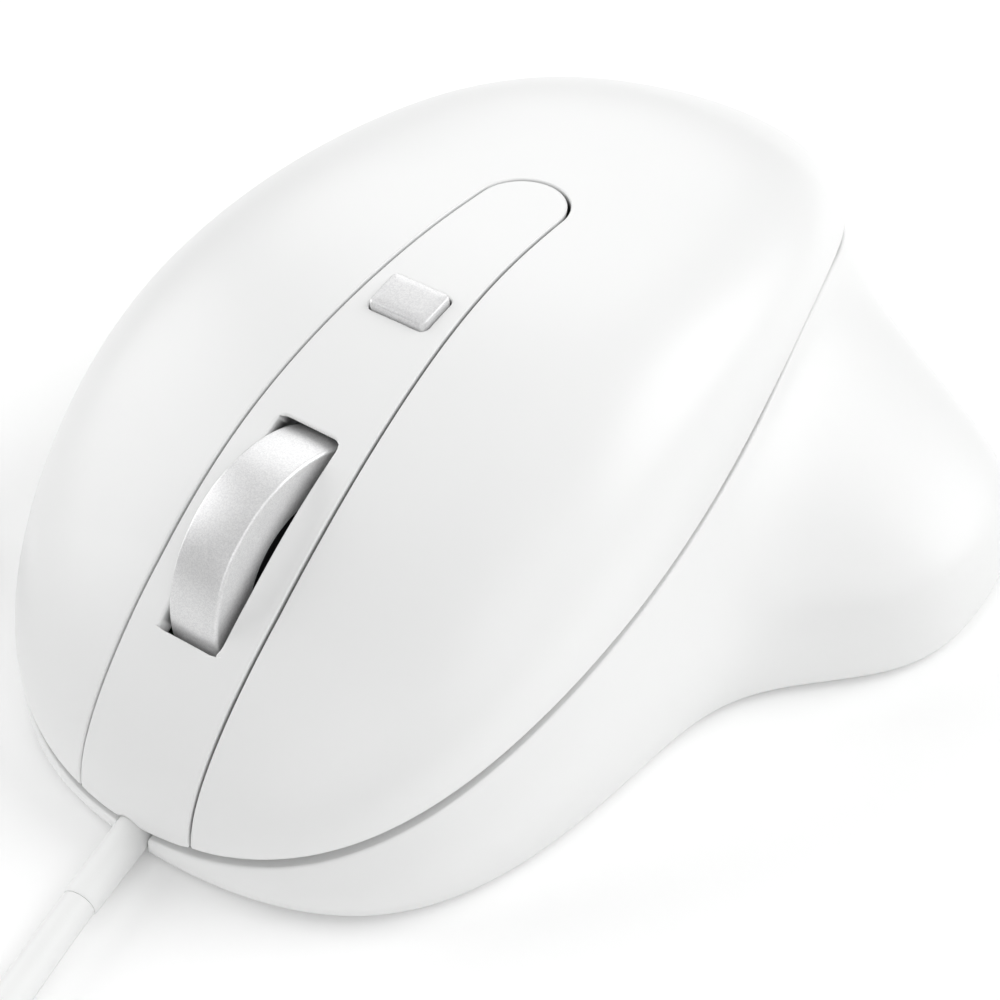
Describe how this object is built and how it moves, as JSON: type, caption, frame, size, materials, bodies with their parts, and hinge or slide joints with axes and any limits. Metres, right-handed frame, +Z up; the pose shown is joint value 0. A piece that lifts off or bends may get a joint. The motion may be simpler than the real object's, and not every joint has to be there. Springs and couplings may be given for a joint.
{
  "type": "computer mouse",
  "caption": "Right-handed wired computer mouse with a domed cover, sprung buttons, a turning and clicking scroll wheel, a thumb shelf and a coiled cable with its plug",
  "frame": {"origin": "centre of the mouse's footprint on the table, without its cable", "axes": "+Z up, -Y the front where the cable leaves, +X the thumb side"},
  "size_m": [0.1168, 0.2034, 0.0389],
  "materials": {
    "white_shell": "smooth satin moulded plastic",
    "satin_silver": "satin silver paint on plastic with a fine metallic grain",
    "dark_plastic": "plain moulded plastic",
    "grey_plastic": "plain moulded plastic",
    "board_green": "glass-fibre board with solder mask",
    "clear_lens": "clear moulded optics",
    "white_cable": "soft satin cable jacket",
    "slip_foot": "smooth low-friction plastic",
    "plain_steel": "plated steel"
  },
  "bodies": {
    "root": {"palm_cover": "white_shell", "center_strip": "white_shell", "side_body": "white_shell", "base_plate": "white_shell", "left_switch_case": "dark_plastic", "right_switch_case": "dark_plastic", "wheel_switch_case": "dark_plastic", "mode_switch_case": "dark_plastic", "optical_sensor": "dark_plastic", "controller_chip": "dark_plastic", "filter_capacitor": "dark_plastic", "coil_tie": "dark_plastic", "left_fork_guide": "grey_plastic", "right_fork_guide": "grey_plastic", "encoder": "grey_plastic", "wheel_switch_stand": "grey_plastic", "left_board_leg": "grey_plastic", "right_board_leg": "grey_plastic", "plug_tongue": "grey_plastic", "circuit_board": "board_green", "mode_board": "board_green", "sensor_lens": "clear_lens", "sensor_led": "clear_lens", "strain_relief": "white_cable", "inner_lead": "white_cable", "cable": "white_cable", "cable_coil": "white_cable", "cable_tail": "white_cable", "plug_grip": "white_cable", "front_foot": "slip_foot", "rear_foot": "slip_foot", "cable_header": "slip_foot", "case_screw": "plain_steel", "plug_shell": "plain_steel"},
    "left_button": {"left_button": "white_shell"},
    "right_button": {"right_button": "white_shell"},
    "left_plunger": {"left_switch_plunger": "grey_plastic"},
    "right_plunger": {"right_switch_plunger": "grey_plastic"},
    "fork": {"wheel_fork": "grey_plastic"},
    "wheel": {"wheel_rim": "satin_silver", "wheel_hub": "dark_plastic", "wheel_axle": "dark_plastic"},
    "wheel_plunger": {"wheel_switch_plunger": "grey_plastic"},
    "mode_button": {"mode_button": "satin_silver"},
    "mode_plunger": {"mode_switch_plunger": "grey_plastic"}
  },
  "joints": [
    {"name": "left_button_press", "type": "hinge", "parent": "root", "child": "left_button", "pos_m": [-0.00728, 0.00432, 0.034], "axis": [1, 0, 0], "range_deg": [0, 0.5], "stiffness_Nm_per_rad": 2, "springref_deg": -0.57},
    {"name": "right_button_press", "type": "hinge", "parent": "root", "child": "right_button", "pos_m": [-0.00728, 0.00432, 0.034], "axis": [1, 0, 0], "range_deg": [0, 0.5], "stiffness_Nm_per_rad": 2, "springref_deg": -0.57},
    {"name": "left_plunger_press", "type": "slide", "parent": "root", "child": "left_plunger", "axis": [0, 0, -1], "range_m": [0, 0.00036]},
    {"name": "right_plunger_press", "type": "slide", "parent": "root", "child": "right_plunger", "axis": [0, 0, -1], "range_m": [0, 0.00036]},
    {"name": "wheel_press", "type": "slide", "parent": "root", "child": "fork", "axis": [0, 0, -1], "range_m": [0, 0.0006], "stiffness_N_per_m": 800, "springref_m": -0.0006},
    {"name": "wheel_spin", "type": "hinge", "parent": "fork", "child": "wheel", "pos_m": [-0.00728, -0.03208, 0.0189], "axis": [1, 0, 0], "continuous": true},
    {"name": "wheel_plunger_press", "type": "slide", "parent": "root", "child": "wheel_plunger", "axis": [0, 0, -1], "range_m": [0, 0.0006]},
    {"name": "mode_button_press", "type": "slide", "parent": "root", "child": "mode_button", "axis": [0, 0, -1], "range_m": [0, 0.0005], "stiffness_N_per_m": 600, "springref_m": -0.0005},
    {"name": "mode_plunger_press", "type": "slide", "parent": "root", "child": "mode_plunger", "axis": [0, 0, -1], "range_m": [0, 0.0005]}
  ],
  "couplings": [
    {"joint": "left_plunger_press", "follows": "left_button_press", "m_per_rad": 0.040823},
    {"joint": "right_plunger_press", "follows": "right_button_press", "m_per_rad": 0.040823},
    {"joint": "wheel_plunger_press", "follows": "wheel_press", "ratio": 1},
    {"joint": "mode_plunger_press", "follows": "mode_button_press", "ratio": 1}
  ]
}
